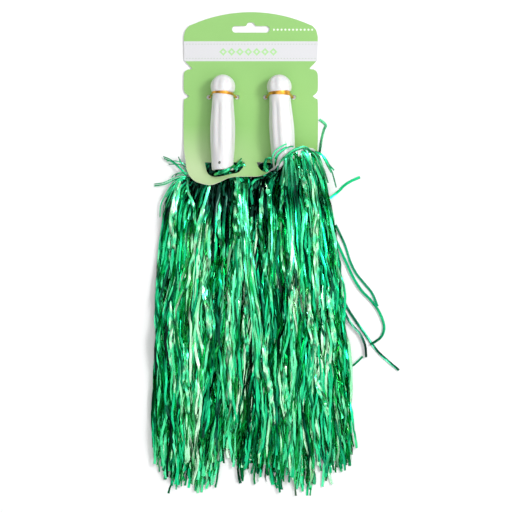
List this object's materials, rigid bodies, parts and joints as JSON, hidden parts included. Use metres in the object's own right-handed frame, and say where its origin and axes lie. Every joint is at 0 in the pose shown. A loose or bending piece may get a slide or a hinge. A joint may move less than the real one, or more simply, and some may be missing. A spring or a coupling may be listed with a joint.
{
  "type": "cheer pom pom",
  "caption": "Metallic tinsel cheer pom poms with hollow fluted ball-end handles, tied by foil twist ties to a die-cut hanging card.",
  "frame": {"origin": "a point on the flat upper part of the card's back, midway between the handles", "axes": "+Y towards the hang slot, +Z out of the card's printed side, +X to the right as the printed side is seen; the part lies on its back"},
  "size_m": [0.2216, 0.4237, 0.027],
  "materials": {
    "card_paper": "matte",
    "gold_foil": "polished",
    "white_plastic": "gloss",
    "pin_steel": "satin",
    "binding_band": "matte",
    "green_tinsel": "gloss"
  },
  "bodies": {
    "card": {"header_card": "card_paper", "left_twist_tie": "gold_foil", "right_twist_tie": "gold_foil"},
    "left_pom": {"left_handle": "white_plastic", "left_retaining_pin": "pin_steel", "left_root_binding": "binding_band", "left_tinsel_root": "green_tinsel", "left_shoulder_tuft": "green_tinsel"},
    "right_pom": {"right_handle": "white_plastic", "right_retaining_pin": "pin_steel", "right_root_binding": "binding_band", "right_tinsel_root": "green_tinsel", "right_shoulder_tuft": "green_tinsel", "right_stray_upper_curl": "green_tinsel", "right_stray_shoulder": "green_tinsel"},
    "left_skirt": {"left_skirt_back": "green_tinsel", "left_skirt_front": "green_tinsel", "left_skirt_inner": "green_tinsel"},
    "right_skirt": {"right_skirt_back": "green_tinsel", "right_skirt_front": "green_tinsel", "right_skirt_inner": "green_tinsel"},
    "left_lock": {"left_outer_lock": "green_tinsel"},
    "right_lock": {"right_outer_lock": "green_tinsel", "right_stray_long": "green_tinsel", "right_stray_hook": "green_tinsel", "right_stray_side": "green_tinsel", "right_stray_short": "green_tinsel", "right_stray_low": "green_tinsel"}
  },
  "joints": [
    {"name": "left_pom_swing", "type": "hinge", "parent": "card", "child": "left_pom", "pos_m": [-0.0246, -0.01709, 0.01208], "axis": [0, 0, 1], "range_deg": [-4, 1.5]},
    {"name": "right_pom_swing", "type": "hinge", "parent": "card", "child": "right_pom", "pos_m": [0.0254, -0.01709, 0.01208], "axis": [0, 0, 1], "range_deg": [-1.5, 2]},
    {"name": "left_skirt_lift", "type": "hinge", "parent": "left_pom", "child": "left_skirt", "pos_m": [-0.035, -0.1062, 0.0155], "axis": [-1, 0, 0], "range_deg": [0, 80]},
    {"name": "right_skirt_lift", "type": "hinge", "parent": "right_pom", "child": "right_skirt", "pos_m": [0.035, -0.1062, 0.0155], "axis": [-1, 0, 0], "range_deg": [0, 80]},
    {"name": "left_lock_spread", "type": "hinge", "parent": "left_pom", "child": "left_lock", "pos_m": [-0.073, -0.11, 0], "axis": [0, 0, -1], "range_deg": [0, 25]},
    {"name": "right_lock_spread", "type": "hinge", "parent": "right_pom", "child": "right_lock", "pos_m": [0.073, -0.11, 0], "axis": [0, 0, 1], "range_deg": [0, 25]}
  ]
}
